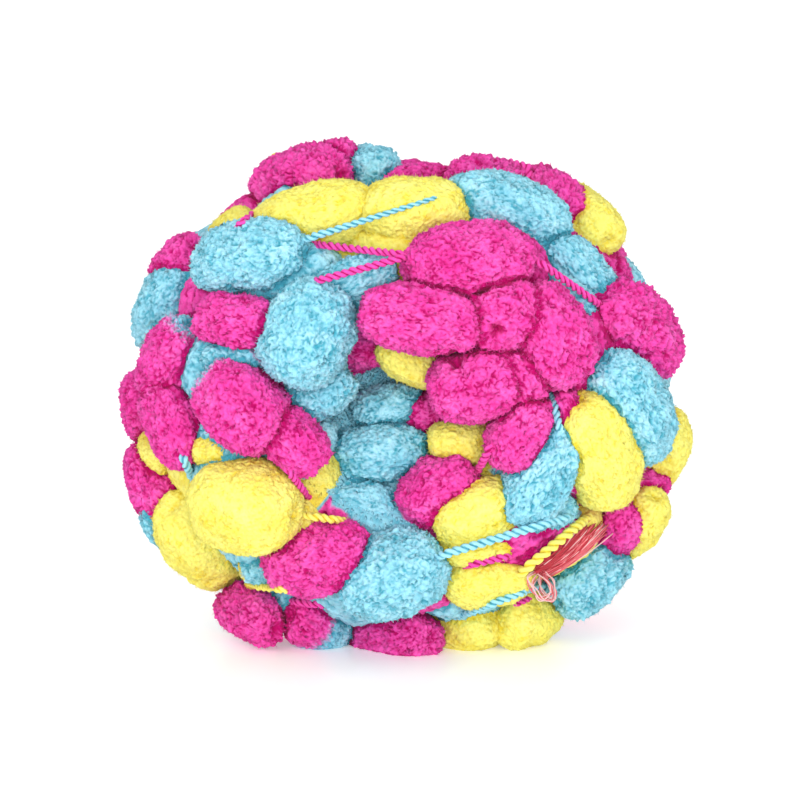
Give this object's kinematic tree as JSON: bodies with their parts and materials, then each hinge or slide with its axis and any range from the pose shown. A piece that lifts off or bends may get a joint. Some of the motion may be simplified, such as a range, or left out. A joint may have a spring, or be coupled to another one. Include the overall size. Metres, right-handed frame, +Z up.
{
  "type": "pom pom yarn ball",
  "caption": "Ball of pom pom yarn wound round a hollow, with bare twisted links between plump pompoms, a flat spot to stand on and a loose tuft of tying thread.",
  "frame": {"origin": "on the floor, under the middle of the box round the ball", "axes": "+Z up; the hollow of the wind faces -Y, so the wind's axis lies along Y; +X to the right as seen from the front"},
  "size_m": [0.1881, 0.1515, 0.166],
  "materials": {
    "pompom_yarn": "dense matt cut pile, dyed in lengths of pink, turquoise and yellow",
    "sewing_thread": "fine matt thread, red, pink and white"
  },
  "bodies": {
    "root": {"yarn_ball": "pompom_yarn", "thread_tuft": "sewing_thread"}
  },
  "joints": []
}
